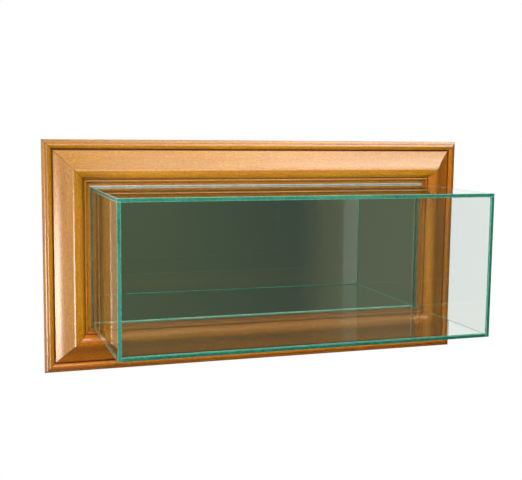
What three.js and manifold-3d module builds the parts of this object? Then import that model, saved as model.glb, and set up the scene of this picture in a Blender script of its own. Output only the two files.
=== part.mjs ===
// Wall display case for two mini helmets: a glass box standing out of a moulded wood frame.
// Millimetres. +Z is up, the front faces -Y, and the wall is the plane y = 0.
import * as THREE from 'three'
import { mergeVertices } from 'three/addons/utils/BufferGeometryUtils.js'
import Module from 'manifold-3d'

const wasm = await Module()
wasm.setup()
const { Manifold, Mesh: SolidMesh } = wasm

// Overall sizes
const frameWidth = 508
const frameHeight = 260
const mouldingWidth = 50.8
const caseDepth = 180

// Clearances
const jointGap = 0.3
const mitreGap = 0.2
const glueLine = 0.15
const cutOverrun = 2

// Moulding section: "across" runs inward from the outer edge, "rise" runs forward from the back
const edgeRise = 4.2
const ovoloWidth = 3.6
const ovoloRise = 7.6
const quirkDrop = 0.4
const beadWidth = 6.6
const beadRise = 10
const beadShoulderRise = 8
const grooveWidth = 1.5
const grooveRise = 5.6
const coveFootRise = 7.6
const ridgeFootRise = 20.2
const ridgeTopRise = 23.2
const ridgeWidth = 5.6
const bandWidth = 6.3
const bandBackRise = 21.2
const fallWidth = 2.4
const fallRise = 17.2
const innerGrooveWidth = 0.9
const innerGrooveRise = 16.4
const innerBeadWidth = 2.6
const innerBeadRise = 17.6
const lipWidth = 4
const lipRise = 14
const ovoloBendShares = { across: 0.3, rise: 0.75 }
const beadCrownShare = 0.45
const beadBendShares = { outer: 0.35, inner: 0.62 }
const coveBendShares = { across: 0.55, rise: 0.34 }
const ridgeBendShare = 0.52
const bandBendShare = 0.55
const curveSteps = 5

// Rebates in the back of the frame
const mirrorLedgeWidth = 6.5
const mirrorLedgeRise = 9.5
const boardLedgeWidth = 12
const panelClearance = 0.8
const panelSeatGap = 0.2

// Glass box
const glassThickness = 3.4
const glassToWoodGap = 1.3
const sealFootLength = 2
const sealLapWidth = 0.3
const sealWaistShares = { out: 0.35, rise: 0.3 }

// Back panel: mirror, tape and board
const mirrorThickness = 3
const tapeThickness = 0.8
const tapeWidth = 19
const tapeInset = 22
const boardThickness = 3
const boardCornerRadius = 3
const pullWidth = 16
const pullLength = 46
const pullThickness = 0.8
const pullInset = 8
const pullEndRadius = 4
const rivetHeadRadius = 4
const rivetHeadHeight = 1
const rivetShankRadius = 1.5
const rivetInset = 7

// Magnets in the frame and the steel discs they hold
const magnetRadius = 4
const magnetThickness = 3
const discRadius = 5
const discThickness = 1
const magnetEndInset = 104

// Hanging hardware
const plateLength = 42
const plateWidth = 16
const plateThickness = 1.2
const plateBackShare = 0.68
const plateTopInset = 62
const keyholeEntryRadius = 4.6
const keyholeSlotRadius = 2.2
const keyholeSlotLength = 11
const pocketDepth = 5
const pocketRadius = 5.4
const plateScrewSpacing = 34
const screwHeadRadius = 2.9
const screwShankRadius = 1.5
const screwLength = 9
const screwHeadHeight = 1.4

// Corner nails and wall bumpers
const nailLegLength = 7
const nailThickness = 0.8
const nailHeight = 6
const nailSink = 0.3
const nailBackShares = [0.46, 0.8]
const bumperRadius = 5
const bumperThickness = 1.5
const bumperEdgeRadius = 0.6
const bumperBackShare = 0.43
const bumperCornerInset = 40
const roundSteps = 24

// Sizes that follow
const backPlane = -bumperThickness
const sightHalfWidth = frameWidth / 2 - mouldingWidth
const sightHalfHeight = frameHeight / 2 - mouldingWidth
const boxHalfWidth = sightHalfWidth - glassToWoodGap
const boxHalfHeight = sightHalfHeight - glassToWoodGap
const boxBackRise = mirrorLedgeRise + jointGap
const boxFrontRise = caseDepth
const mirrorFrontRise = mirrorLedgeRise - panelSeatGap
const mirrorBackRise = mirrorFrontRise - mirrorThickness
const boardFrontRise = mirrorBackRise - tapeThickness
const boardBackRise = boardFrontRise - boardThickness
const boardLedgeRise = boardFrontRise + panelSeatGap
const boardLedgeAcross = mouldingWidth - mirrorLedgeWidth - boardLedgeWidth
const magnetAcross = boardLedgeAcross + boardLedgeWidth / 2
const plateAcross = boardLedgeAcross * plateBackShare
const bumperAcross = boardLedgeAcross * bumperBackShare
const nailAcrosses = nailBackShares.map(share => boardLedgeAcross * share)

const wood = new THREE.MeshStandardMaterial({ name: 'wood', color: 0xb8732e, roughness: 0.35 })
const glass = new THREE.MeshStandardMaterial({
  name: 'glass', color: 0xbfe0d2, roughness: 0.05, transparent: true, opacity: 0.35
})
const mirrorGlass = new THREE.MeshStandardMaterial({
  name: 'mirror', color: 0xdfe5e2, roughness: 0.03, metalness: 1
})
const board = new THREE.MeshStandardMaterial({ name: 'board', color: 0x6b4a30, roughness: 0.8 })
const steel = new THREE.MeshStandardMaterial({
  name: 'steel', color: 0xb9bcc0, roughness: 0.3, metalness: 1
})
const magnetMetal = new THREE.MeshStandardMaterial({
  name: 'magnet', color: 0xc9cacc, roughness: 0.2, metalness: 1
})
const silicone = new THREE.MeshStandardMaterial({ name: 'silicone', color: 0xd5e2da, roughness: 0.3 })
const tape = new THREE.MeshStandardMaterial({ name: 'tape', color: 0xe8e8e4, roughness: 0.9 })
const ribbon = new THREE.MeshStandardMaterial({ name: 'ribbon', color: 0x1c1c1e, roughness: 0.9 })
const rubber = new THREE.MeshStandardMaterial({ name: 'rubber', color: 0x2a2a2a, roughness: 0.7 })

// Solids for cutting and joining
function toSolid(geometry) {
  const bare = geometry.clone()
  bare.deleteAttribute('normal')
  bare.deleteAttribute('uv')
  const merged = mergeVertices(bare)
  return new Manifold(new SolidMesh({
    numProp: 3,
    vertProperties: new Float32Array(merged.attributes.position.array),
    triVerts: new Uint32Array(merged.index.array)
  }))
}

function toGeometry(solid) {
  const mesh = solid.getMesh()
  const geometry = new THREE.BufferGeometry()
  geometry.setAttribute('position', new THREE.BufferAttribute(mesh.vertProperties, 3))
  geometry.setIndex(new THREE.BufferAttribute(mesh.triVerts, 1))
  geometry.computeVertexNormals()
  return geometry
}

function cut(geometry, cutters) {
  let solid = toSolid(geometry)
  for (const cutter of cutters) solid = solid.subtract(toSolid(cutter))
  return toGeometry(solid)
}

// A box from its two corners
function boxBetween(low, high) {
  const size = new THREE.Vector3().subVectors(high, low)
  const middle = new THREE.Vector3().addVectors(low, high).multiplyScalar(1 / 2)
  return new THREE.BoxGeometry(size.x, size.y, size.z).translate(middle.x, middle.y, middle.z)
}

// A round bar along Y whose ends are two rises from the back of the frame
function barAlongRise(radius, lowRise, highRise, x, z) {
  const length = highRise - lowRise
  const bar = new THREE.CylinderGeometry(radius, radius, length, roundSteps)
  return bar.translate(x, backPlane - lowRise - length / 2, z)
}

// A flat outline in X and Z, extruded between two rises
function plateBetweenRises(shape, lowRise, highRise) {
  const settings = { depth: highRise - lowRise, bevelEnabled: false, curveSegments: roundSteps / 4 }
  const plate = new THREE.ExtrudeGeometry(shape, settings)
  return plate.rotateX(Math.PI / 2).translate(0, backPlane - lowRise, 0)
}

function roundedRectangle(halfWidth, halfHeight, radius) {
  const shape = new THREE.Shape()
  shape.moveTo(-halfWidth + radius, -halfHeight)
  shape.lineTo(halfWidth - radius, -halfHeight)
  shape.absarc(halfWidth - radius, -halfHeight + radius, radius, -Math.PI / 2, 0)
  shape.lineTo(halfWidth, halfHeight - radius)
  shape.absarc(halfWidth - radius, halfHeight - radius, radius, 0, Math.PI / 2)
  shape.lineTo(-halfWidth + radius, halfHeight)
  shape.absarc(-halfWidth + radius, halfHeight - radius, radius, Math.PI / 2, Math.PI)
  shape.lineTo(-halfWidth, -halfHeight + radius)
  shape.absarc(-halfWidth + radius, -halfHeight + radius, radius, Math.PI, 3 * Math.PI / 2)
  return shape
}

const part = new THREE.Group()

function addPiece(name, geometry, material, parent = part) {
  const mesh = new THREE.Mesh(geometry, material)
  mesh.name = name
  parent.add(mesh)
  return mesh
}

// The moulding's section, from the outer edge at 0 to the sight edge
function mouldingSection() {
  const beadStart = ovoloWidth
  const beadEnd = beadStart + beadWidth
  const coveStart = beadEnd + grooveWidth
  const innerBeadEnd = mouldingWidth - lipWidth
  const innerBeadStart = innerBeadEnd - innerBeadWidth
  const fallEnd = innerBeadStart - innerGrooveWidth
  const bandEnd = fallEnd - fallWidth
  const ridgeEnd = bandEnd - bandWidth
  const ridgeStart = ridgeEnd - ridgeWidth
  const coveWidth = ridgeStart - coveStart
  const coveRise = ridgeFootRise - coveFootRise
  const shape = new THREE.Shape()
  shape.moveTo(0, 0)
  shape.lineTo(0, edgeRise)
  shape.quadraticCurveTo(
    ovoloWidth * ovoloBendShares.across,
    edgeRise + (ovoloRise - edgeRise) * ovoloBendShares.rise, beadStart, ovoloRise
  )
  shape.lineTo(beadStart, ovoloRise - quirkDrop)
  const crown = beadStart + beadWidth * beadCrownShare
  shape.quadraticCurveTo(
    beadStart + (crown - beadStart) * beadBendShares.outer, beadRise, crown, beadRise
  )
  shape.quadraticCurveTo(
    crown + (beadEnd - crown) * beadBendShares.inner, beadRise, beadEnd, beadShoulderRise
  )
  shape.lineTo(beadEnd, grooveRise)
  shape.lineTo(coveStart, grooveRise)
  shape.lineTo(coveStart, coveFootRise)
  shape.quadraticCurveTo(
    coveStart + coveWidth * coveBendShares.across, coveFootRise + coveRise * coveBendShares.rise,
    ridgeStart, ridgeFootRise
  )
  shape.quadraticCurveTo(
    ridgeStart + ridgeWidth * ridgeBendShare, ridgeTopRise, ridgeEnd, ridgeTopRise
  )
  shape.quadraticCurveTo(ridgeEnd + bandWidth * bandBendShare, ridgeTopRise, bandEnd, bandBackRise)
  shape.lineTo(fallEnd, fallRise)
  shape.lineTo(fallEnd, innerGrooveRise)
  shape.lineTo(innerBeadStart, innerGrooveRise)
  shape.quadraticCurveTo(
    innerBeadStart, innerBeadRise, innerBeadStart + innerBeadWidth / 2, innerBeadRise
  )
  shape.quadraticCurveTo(innerBeadEnd, innerBeadRise, innerBeadEnd, lipRise)
  shape.lineTo(mouldingWidth, lipRise)
  shape.lineTo(mouldingWidth, mirrorLedgeRise)
  shape.lineTo(mouldingWidth - mirrorLedgeWidth, mirrorLedgeRise)
  shape.lineTo(mouldingWidth - mirrorLedgeWidth, boardLedgeRise)
  shape.lineTo(boardLedgeAcross, boardLedgeRise)
  shape.lineTo(boardLedgeAcross, 0)
  shape.closePath()
  return shape
}

// One stick of moulding along X, its outer edge on z = 0, with both ends cut to 45 degrees
function mouldingStick(length) {
  const settings = { depth: 1, steps: 1, bevelEnabled: false, curveSegments: curveSteps }
  const stick = new THREE.ExtrudeGeometry(mouldingSection(), settings)
  const points = stick.attributes.position
  for (let i = 0; i < points.count; i++) {
    const across = points.getX(i)
    const rise = points.getY(i)
    const side = points.getZ(i) > 1 / 2 ? 1 : -1
    const along = side * (length / 2 - across - mitreGap / 2)
    points.setXYZ(i, along, backPlane - rise, across)
  }
  return stick
}

// A corner nail's V, its point on the origin and its legs either side of the +X direction
function nailShape(grow) {
  const wide = nailThickness / 2 + grow
  const reach = nailLegLength + grow
  const tip = wide * Math.SQRT2
  const legX = reach * Math.SQRT1_2
  const half = wide * Math.SQRT1_2
  const shape = new THREE.Shape()
  shape.moveTo(-tip, 0)
  shape.lineTo(legX - half, -legX - half)
  shape.lineTo(legX + half, -legX + half)
  shape.lineTo(tip, 0)
  shape.lineTo(legX + half, legX - half)
  shape.lineTo(legX - half, legX + half)
  shape.closePath()
  return shape
}

// One nail at a corner, straddling the mitre that runs inward from it
function nailAt(across, cornerX, cornerZ, grow, lowRise) {
  const nail = plateBetweenRises(nailShape(grow), lowRise, nailSink + nailHeight + grow)
  const inwardX = -Math.sign(cornerX)
  const inwardZ = -Math.sign(cornerZ)
  const turn = Math.atan2(inwardZ, inwardX)
  return nail.rotateY(-turn).translate(cornerX + inwardX * across, 0, cornerZ + inwardZ * across)
}

const corners = {
  top_left: [-frameWidth / 2, frameHeight / 2],
  top_right: [frameWidth / 2, frameHeight / 2],
  bottom_left: [-frameWidth / 2, -frameHeight / 2],
  bottom_right: [frameWidth / 2, -frameHeight / 2]
}

const nailCutters = Object.values(corners).flatMap(([x, z]) =>
  nailAcrosses.map(across => nailAt(across, x, z, jointGap, -cutOverrun)))

// Magnets sit in the outer ledge of the top and bottom rails
const magnetPlaces = []
for (const [sideX, wordX] of [[-1, 'left'], [1, 'right']]) {
  for (const [sideZ, wordZ] of [[1, 'top'], [-1, 'bottom']]) {
    magnetPlaces.push({
      word: `${wordZ}_${wordX}`,
      x: sideX * (frameWidth / 2 - magnetEndInset),
      z: sideZ * (frameHeight / 2 - magnetAcross)
    })
  }
}
const magnetLowRise = boardLedgeRise
const magnetHighRise = boardLedgeRise + magnetThickness
const magnetCutters = magnetPlaces.map(place => barAlongRise(
  magnetRadius + jointGap, magnetLowRise - cutOverrun, magnetHighRise + jointGap, place.x, place.z
))

// Keyhole plates, let in flush with the back of the two upright rails
const plateZ = frameHeight / 2 - plateTopInset
const platePlaces = [-1, 1].map(side => ({
  word: side < 0 ? 'left' : 'right',
  x: side * (frameWidth / 2 - plateAcross)
}))

function keyholeOutline(entryRadius, slotRadius) {
  const entryZ = -keyholeSlotLength / 2
  const slotZ = keyholeSlotLength / 2
  const neck = Math.sqrt(entryRadius ** 2 - slotRadius ** 2)
  const neckAngle = Math.atan2(neck, slotRadius)
  const path = new THREE.Path()
  path.moveTo(slotRadius, entryZ + neck)
  path.lineTo(slotRadius, slotZ)
  path.absarc(0, slotZ, slotRadius, 0, Math.PI)
  path.lineTo(-slotRadius, entryZ + neck)
  path.absarc(0, entryZ, entryRadius, Math.PI - neckAngle, 2 * Math.PI + neckAngle)
  return path
}

const screwZs = [plateZ - plateScrewSpacing / 2, plateZ + plateScrewSpacing / 2]

// A countersunk screw driven in from the back, as a turned profile along the rise
function screwProfile(grow) {
  const shank = screwShankRadius + grow
  const head = screwHeadRadius + grow
  return [
    new THREE.Vector2(0, 0),
    new THREE.Vector2(head, 0),
    new THREE.Vector2(shank, screwHeadHeight + grow),
    new THREE.Vector2(shank, screwLength - screwShankRadius),
    new THREE.Vector2(0, screwLength + grow)
  ]
}

function screwAt(x, z, grow) {
  const screw = new THREE.LatheGeometry(screwProfile(grow), roundSteps / 2)
  return screw.rotateX(Math.PI).translate(x, backPlane, z)
}

function screwHoles(x) {
  const holes = screwZs.map(z => screwAt(x, z, jointGap))
  const mouths = screwZs.map(z => barAlongRise(screwHeadRadius + jointGap, -cutOverrun, 0, x, z))
  return [...holes, ...mouths]
}

function keyholePlate(place) {
  const outline = roundedRectangle(plateWidth / 2, plateLength / 2, plateWidth / 2)
  outline.holes.push(keyholeOutline(keyholeEntryRadius, keyholeSlotRadius))
  const plate = plateBetweenRises(outline, 0, plateThickness).translate(place.x, 0, plateZ)
  return cut(plate, screwHoles(place.x))
}

function keyholeCutters(place) {
  const recess = roundedRectangle(
    plateWidth / 2 + jointGap, plateLength / 2 + jointGap, plateWidth / 2 + jointGap
  )
  const pocket = roundedRectangle(pocketRadius, pocketRadius + keyholeSlotLength / 2, pocketRadius)
  const recessFloor = plateThickness + jointGap
  return [
    plateBetweenRises(recess, -cutOverrun, recessFloor).translate(place.x, 0, plateZ),
    plateBetweenRises(pocket, 0, recessFloor + pocketDepth).translate(place.x, 0, plateZ),
    ...screwZs.map(z => screwAt(place.x, z, jointGap))
  ]
}

// Wood frame
function addFrame() {
  const rails = [
    { name: 'frame_rail_top', length: frameWidth, turn: Math.PI, x: 0, z: frameHeight / 2 },
    { name: 'frame_rail_bottom', length: frameWidth, turn: 0, x: 0, z: -frameHeight / 2 },
    { name: 'frame_rail_left', length: frameHeight, turn: Math.PI / 2, x: -frameWidth / 2, z: 0 },
    { name: 'frame_rail_right', length: frameHeight, turn: -Math.PI / 2, x: frameWidth / 2, z: 0 }
  ]
  const cutters = [...nailCutters, ...magnetCutters, ...platePlaces.flatMap(keyholeCutters)]
  for (const rail of rails) {
    const stick = mouldingStick(rail.length).rotateY(rail.turn).translate(rail.x, 0, rail.z)
    addPiece(rail.name, cut(stick, cutters), wood)
  }
  for (const [word, [x, z]] of Object.entries(corners)) {
    nailAcrosses.forEach((across, i) => {
      addPiece(`corner_nail_${word}_${i + 1}`, nailAt(across, x, z, 0, nailSink), steel)
    })
  }
}

// Glass box of five panes, open at the back: the top laps the sides, the front sits inside all four
function addGlassBox() {
  const back = backPlane - boxBackRise
  const front = backPlane - boxFrontRise
  const innerX = boxHalfWidth - glassThickness
  const topUnder = boxHalfHeight - glassThickness
  const floorTop = -boxHalfHeight + glassThickness
  const corner = (x, y, z) => new THREE.Vector3(x, y, z)
  addPiece('glass_top', boxBetween(
    corner(-boxHalfWidth, front, topUnder), corner(boxHalfWidth, back, boxHalfHeight)
  ), glass)
  addPiece('glass_left', boxBetween(
    corner(-boxHalfWidth, front, -boxHalfHeight), corner(-innerX, back, topUnder - glueLine)
  ), glass)
  addPiece('glass_right', boxBetween(
    corner(innerX, front, -boxHalfHeight), corner(boxHalfWidth, back, topUnder - glueLine)
  ), glass)
  addPiece('glass_floor', boxBetween(
    corner(-innerX + glueLine, front, -boxHalfHeight), corner(innerX - glueLine, back, floorTop)
  ), glass)
  addPiece('glass_front', boxBetween(
    corner(-innerX + glueLine, front, floorTop + glueLine),
    corner(innerX - glueLine, front + glassThickness, topUnder - glueLine)
  ), glass)
}

// Clear sealant that bonds the glass box into the frame, one ring with a hollow fillet in front
function sealantSection() {
  const low = boxBackRise
  const lap = glassToWoodGap + sealLapWidth
  const face = lipRise + glueLine
  const foot = lipRise + sealFootLength
  const waist = {
    out: glueLine + lap * sealWaistShares.out,
    rise: face + sealFootLength * sealWaistShares.rise
  }
  const woodSide = glassToWoodGap - glueLine
  return [[glueLine, low], [woodSide, low], [woodSide, face], [lap, face], [waist.out, waist.rise],
    [glueLine, foot]]
}

function addSealant() {
  const section = sealantSection()
  const turns = [[1, 1], [-1, 1], [-1, -1], [1, -1]]
  const positions = []
  for (const [sideX, sideZ] of turns) {
    for (const [out, rise] of section) {
      positions.push(sideX * (boxHalfWidth + out), backPlane - rise, sideZ * (boxHalfHeight + out))
    }
  }
  const indices = []
  turns.forEach((_, turn) => {
    section.forEach((_, i) => {
      const here = turn * section.length
      const next = ((turn + 1) % turns.length) * section.length
      const j = (i + 1) % section.length
      indices.push(here + i, next + i, next + j, here + i, next + j, here + j)
    })
  })
  const ring = new THREE.BufferGeometry()
  ring.setAttribute('position', new THREE.Float32BufferAttribute(positions, 3))
  ring.setIndex(indices)
  ring.computeVertexNormals()
  addPiece('sealant_ring', ring, silicone)
}

// Back panel that lifts out to the rear: mirror taped to a board, with discs and a ribbon pull
function addBackPanel() {
  const ledge = mouldingWidth - mirrorLedgeWidth + panelClearance
  const mirrorShape = roundedRectangle(
    frameWidth / 2 - ledge, frameHeight / 2 - ledge, boardCornerRadius
  )
  addPiece('back_mirror', plateBetweenRises(mirrorShape, mirrorBackRise, mirrorFrontRise), mirrorGlass)

  const tapeHalf = frameWidth / 2 - ledge - tapeInset
  const tapeZ = frameHeight / 2 - ledge - tapeInset
  for (const [word, side] of [['upper', 1], ['lower', -1]]) {
    const strip = new THREE.BoxGeometry(2 * tapeHalf, tapeThickness, tapeWidth)
    strip.translate(0, backPlane - boardFrontRise - tapeThickness / 2, side * tapeZ)
    addPiece(`mirror_tape_${word}`, strip, tape)
  }

  const margin = boardLedgeAcross + panelClearance
  const boardShape = roundedRectangle(
    frameWidth / 2 - margin, frameHeight / 2 - margin, boardCornerRadius
  )
  const pullZ = -frameHeight / 2 + margin + pullInset + pullLength / 2
  const rivetZ = pullZ + pullLength / 2 - rivetInset
  const discHoles = magnetPlaces.map(place => barAlongRise(
    discRadius + jointGap, boardFrontRise - discThickness - jointGap, boardFrontRise + cutOverrun,
    place.x, place.z
  ))
  const rivetHole = barAlongRise(
    rivetShankRadius + jointGap, boardBackRise - cutOverrun, boardFrontRise + cutOverrun, 0, rivetZ
  )
  const plate = plateBetweenRises(boardShape, boardBackRise, boardFrontRise)
  addPiece('back_board', cut(plate, [...discHoles, rivetHole]), board)

  for (const place of magnetPlaces) {
    const disc = barAlongRise(
      discRadius, boardFrontRise - discThickness, boardFrontRise, place.x, place.z
    )
    addPiece(`strike_disc_${place.word}`, disc, steel)
    const magnet = barAlongRise(magnetRadius, magnetLowRise, magnetHighRise, place.x, place.z)
    addPiece(`magnet_${place.word}`, magnet, magnetMetal)
  }

  const pullShape = roundedRectangle(pullWidth / 2, pullLength / 2, pullEndRadius)
  const pull = plateBetweenRises(pullShape, boardBackRise - pullThickness, boardBackRise)
  const pullHole = barAlongRise(
    rivetShankRadius + jointGap, boardBackRise - pullThickness - cutOverrun,
    boardBackRise + cutOverrun, 0, rivetZ
  )
  addPiece('pull_ribbon', cut(pull.translate(0, 0, pullZ), [pullHole]), ribbon)
  const rivetLowRise = boardBackRise - pullThickness
  const rivetProfile = [
    new THREE.Vector2(0, -rivetHeadHeight),
    new THREE.Vector2(rivetHeadRadius / 2, -rivetHeadHeight),
    new THREE.Vector2(rivetHeadRadius, 0),
    new THREE.Vector2(rivetShankRadius, 0),
    new THREE.Vector2(rivetShankRadius, boardFrontRise - rivetLowRise),
    new THREE.Vector2(0, boardFrontRise - rivetLowRise)
  ]
  const rivet = new THREE.LatheGeometry(rivetProfile, roundSteps)
  addPiece('pull_rivet', rivet.rotateX(Math.PI).translate(0, backPlane - rivetLowRise, rivetZ), steel)
}

// Hangers and bumpers on the back of the frame
function addHangers() {
  for (const place of platePlaces) {
    addPiece(`keyhole_plate_${place.word}`, keyholePlate(place), steel)
    screwZs.forEach((z, i) => {
      const word = `${place.word}_${i === 0 ? 'lower' : 'upper'}`
      addPiece(`plate_screw_${word}`, screwAt(place.x, z, 0), steel)
    })
  }
}

function addBumpers() {
  const profile = [
    new THREE.Vector2(0, 0),
    new THREE.Vector2(bumperRadius, 0),
    new THREE.Vector2(bumperRadius, bumperThickness - bumperEdgeRadius),
    new THREE.Vector2(bumperRadius - bumperEdgeRadius, bumperThickness),
    new THREE.Vector2(0, bumperThickness)
  ]
  for (const [word, [x, z]] of Object.entries(corners)) {
    const bumper = new THREE.LatheGeometry(profile, roundSteps)
    const placeX = x - Math.sign(x) * bumperCornerInset
    const placeZ = z - Math.sign(z) * bumperAcross
    addPiece(`wall_bumper_${word}`, bumper.translate(placeX, backPlane, placeZ), rubber)
  }
}

addFrame()
addGlassBox()
addSealant()
addBackPanel()
addHangers()
addBumpers()

export default part
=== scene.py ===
import math

import bmesh
import bpy
from mathutils import Matrix, Vector, noise


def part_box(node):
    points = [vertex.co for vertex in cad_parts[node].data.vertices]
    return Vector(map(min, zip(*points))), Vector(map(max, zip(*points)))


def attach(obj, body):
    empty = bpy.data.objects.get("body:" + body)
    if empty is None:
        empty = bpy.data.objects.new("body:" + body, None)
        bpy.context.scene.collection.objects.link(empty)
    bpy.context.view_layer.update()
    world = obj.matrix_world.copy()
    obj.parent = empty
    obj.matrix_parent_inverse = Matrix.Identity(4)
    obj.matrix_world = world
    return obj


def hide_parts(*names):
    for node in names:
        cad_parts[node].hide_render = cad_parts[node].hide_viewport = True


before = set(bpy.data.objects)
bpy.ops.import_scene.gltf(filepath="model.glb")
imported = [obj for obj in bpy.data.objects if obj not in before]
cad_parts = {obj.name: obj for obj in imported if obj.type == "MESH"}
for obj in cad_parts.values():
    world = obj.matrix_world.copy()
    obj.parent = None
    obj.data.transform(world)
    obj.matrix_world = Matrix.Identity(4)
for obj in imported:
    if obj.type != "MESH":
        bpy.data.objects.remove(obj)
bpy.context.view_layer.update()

MM = 0.001

# Sizes that follow the CAD solids
left_rail_low, left_rail_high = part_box("frame_rail_left")
top_rail_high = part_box("frame_rail_top")[1]
half_width = -left_rail_low.x
half_height = top_rail_high.z
moulding_width = left_rail_high.x - left_rail_low.x
back_plane = left_rail_high.y
mitre_gap = 2 * (half_width - top_rail_high.x)

# Moulding section: across runs inward from the outer edge, rise runs forward from the back
edge_rise = 4.2 * MM
ovolo_width = 3.6 * MM
ovolo_rise = 7.6 * MM
quirk_drop = 0.4 * MM
bead_width = 6.6 * MM
bead_rise = 10 * MM
bead_shoulder_rise = 8 * MM
groove_width = 1.5 * MM
groove_rise = 5.6 * MM
cove_foot_rise = 7.6 * MM
ridge_foot_rise = 20.2 * MM
ridge_top_rise = 23.2 * MM
ridge_width = 5.6 * MM
band_width = 6.3 * MM
band_back_rise = 21.2 * MM
fall_width = 2.4 * MM
fall_rise = 17.2 * MM
inner_groove_width = 0.9 * MM
inner_groove_rise = 16.4 * MM
inner_bead_width = 2.6 * MM
inner_bead_rise = 17.6 * MM
lip_width = 4 * MM
lip_rise = 14 * MM
ovolo_bend_shares = (0.3, 0.75)
bead_crown_share = 0.45
bead_bend_shares = (0.35, 0.62)
cove_bend_shares = (0.55, 0.34)
ridge_bend_share = 0.52
band_bend_share = 0.55
ledge_width = 6.5 * MM
ledge_rise = 9.5 * MM
board_ledge_width = 12 * MM
disc_room = 0.2 * MM
board_ledge_rise = back_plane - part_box("strike_disc_top_left")[0].y + disc_room
curve_steps = 14

# Darker colour in the grooves, a stain that also paints their shade, and painted shade towards the
# glass
groove_reach = 2.2 * MM
groove_deepest = 1.1 * MM
lip_shade_share = 0.45
lip_fade = 4 * MM

# Easing of edges and the clearances round let-in pieces
wood_ease = 0.35 * MM
ease_reach_share = 0.4
ease_steps = 4
sharp_turn = math.radians(22)
smooth_turn = math.radians(30)
flat_face_turn = math.radians(10)
let_in_gap = 0.3 * MM
cut_overrun = 2 * MM
arris = 0.45 * MM
flat_share = 0.99
glass_stand = 0.02 * MM

# The camera, solved from the straight edges of the photograph
camera_place = (-0.3439, -1.0288, 0.1421)
camera_forward = Vector((0.31517, 0.94156, -0.11892))
camera_up = Vector((0.02715, 0.11631, 0.99284))
camera_lens = 63.257
camera_sensor = 36


def add_camera():
    data = bpy.data.cameras.new("camera")
    data.lens = camera_lens
    data.sensor_width = camera_sensor
    camera = bpy.data.objects.new("camera", data)
    right = camera_forward.cross(camera_up).normalized()
    up = right.cross(camera_forward).normalized()
    turned = Matrix((right, up, -camera_forward.normalized())).transposed()
    camera.matrix_world = Matrix.Translation(camera_place) @ turned.to_4x4()
    bpy.context.scene.collection.objects.link(camera)
    bpy.context.scene.camera = camera


# Colours and node helpers
def linear(level):
    share = level / 255
    return share / 12.92 if share <= 0.04045 else ((share + 0.055) / 1.055) ** 2.4


def colour(red, green, blue):
    return (linear(red), linear(green), linear(blue), 1)


def new_material(name):
    material = bpy.data.materials.new(name)
    material.use_nodes = True
    tree = material.node_tree
    shader = tree.nodes["Principled BSDF"]
    return material, tree, shader


def fill(socket, value):
    """Links a socket to a value that is a socket too, and otherwise sets it."""
    if isinstance(value, bpy.types.NodeSocket):
        socket.id_data.links.new(value, socket)
    else:
        socket.default_value = value


def add_node(tree, kind, inputs=None, **settings):
    made = tree.nodes.new(kind)
    for name, value in settings.items():
        setattr(made, name, value)
    for name, value in (inputs or {}).items():
        fill(made.inputs[name], value)
    return made


def math_node(tree, operation, first, second=0):
    inputs = {0: first, 1: second}
    return add_node(tree, "ShaderNodeMath", inputs, operation=operation).outputs[0]


def mixed(tree, factor, first, second):
    inputs = {0: factor, 6: first, 7: second}
    return add_node(tree, "ShaderNodeMix", inputs, data_type="RGBA").outputs[2]


def ramp(tree, factor, low, high, low_value=0, high_value=1):
    inputs = {0: factor, 1: low, 2: high, 3: low_value, 4: high_value}
    return add_node(tree, "ShaderNodeMapRange", inputs, clamp=True).outputs[0]


def object_place(tree):
    return add_node(tree, "ShaderNodeTexCoord").outputs["Object"]


def noise_at(tree, vector, scales, detail=3, roughness=0.5, distortion=0):
    stretched = add_node(tree, "ShaderNodeMapping", {"Vector": vector, "Scale": scales})
    made = add_node(tree, "ShaderNodeTexNoise", {
        "Vector": stretched.outputs[0], "Scale": 1, "Detail": detail,
        "Roughness": roughness, "Distortion": distortion
    })
    return made.outputs[0]


def bump(tree, height, distance, strength=1, normal=None):
    inputs = {"Height": height, "Distance": distance, "Strength": strength}
    if normal:
        inputs["Normal"] = normal
    return add_node(tree, "ShaderNodeBump", inputs).outputs[0]


def set_inputs(shader, **values):
    for name, value in values.items():
        fill(shader.inputs[name.replace("_", " ")], value)


def mix_to_output(tree, share, first, second):
    both = add_node(tree, "ShaderNodeMixShader", {
        0: share, 1: first.outputs[0], 2: second.outputs[0]
    })
    fill(tree.nodes["Material Output"].inputs["Surface"], both.outputs[0])


def mottled(name, scales, span, low, high, detail=3, grit=0.5, depth=0, strength=0.5, **settings):
    """A finish of two colours that one noise mixes, and raises by depth."""
    material, tree, shader = new_material(name)
    cloud = noise_at(tree, object_place(tree), scales, detail, grit)
    set_inputs(shader, Base_Color=mixed(tree, ramp(tree, cloud, *span), low, high), **settings)
    if depth:
        set_inputs(shader, Normal=bump(tree, cloud, depth, strength))
    return material


# Lacquered wood: grain runs along u; stain that also paints shade darkens the grooves, painted
# shade darkens the wood towards the glass, and dark lines sit on the mitres
wood_pale = colour(226, 160, 14)
wood_mid = colour(202, 130, 6)
wood_deep = colour(150, 80, 8)
# A red painted shade: it reddens the rails that lie more in shade
wood_shade_red = colour(240, 112, 6)
wood_groove = colour(104, 56, 20)
wood_pore = colour(112, 60, 20)
# Two spots of painted shade where small gaps between the lip and the sealant look dark
gap_shade_spots = ((-227 * MM, 90.8 * MM), (-59.4 * MM, 92.7 * MM))
gap_shade_core = 0.4 * MM
gap_shade_edge = 1.1 * MM
mitre_line = 0.1 * MM
mitre_fade = 0.8 * MM
mitre_dark_share = 0.65
dark_share = 0.85
peel_depth = 0.05 * MM
pore_depth = 0.06 * MM

# Noise scales a metre: along the grain, across it, and through it
broad_grain = (7, 90, 1)
streak_grain = (60, 700, 1)
mottle_grain = (280, 850, 1)
pore_grain = (500, 2600, 1)
peel_grain = (700, 900, 1)
raw_grain = (30, 600, 1)


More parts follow.
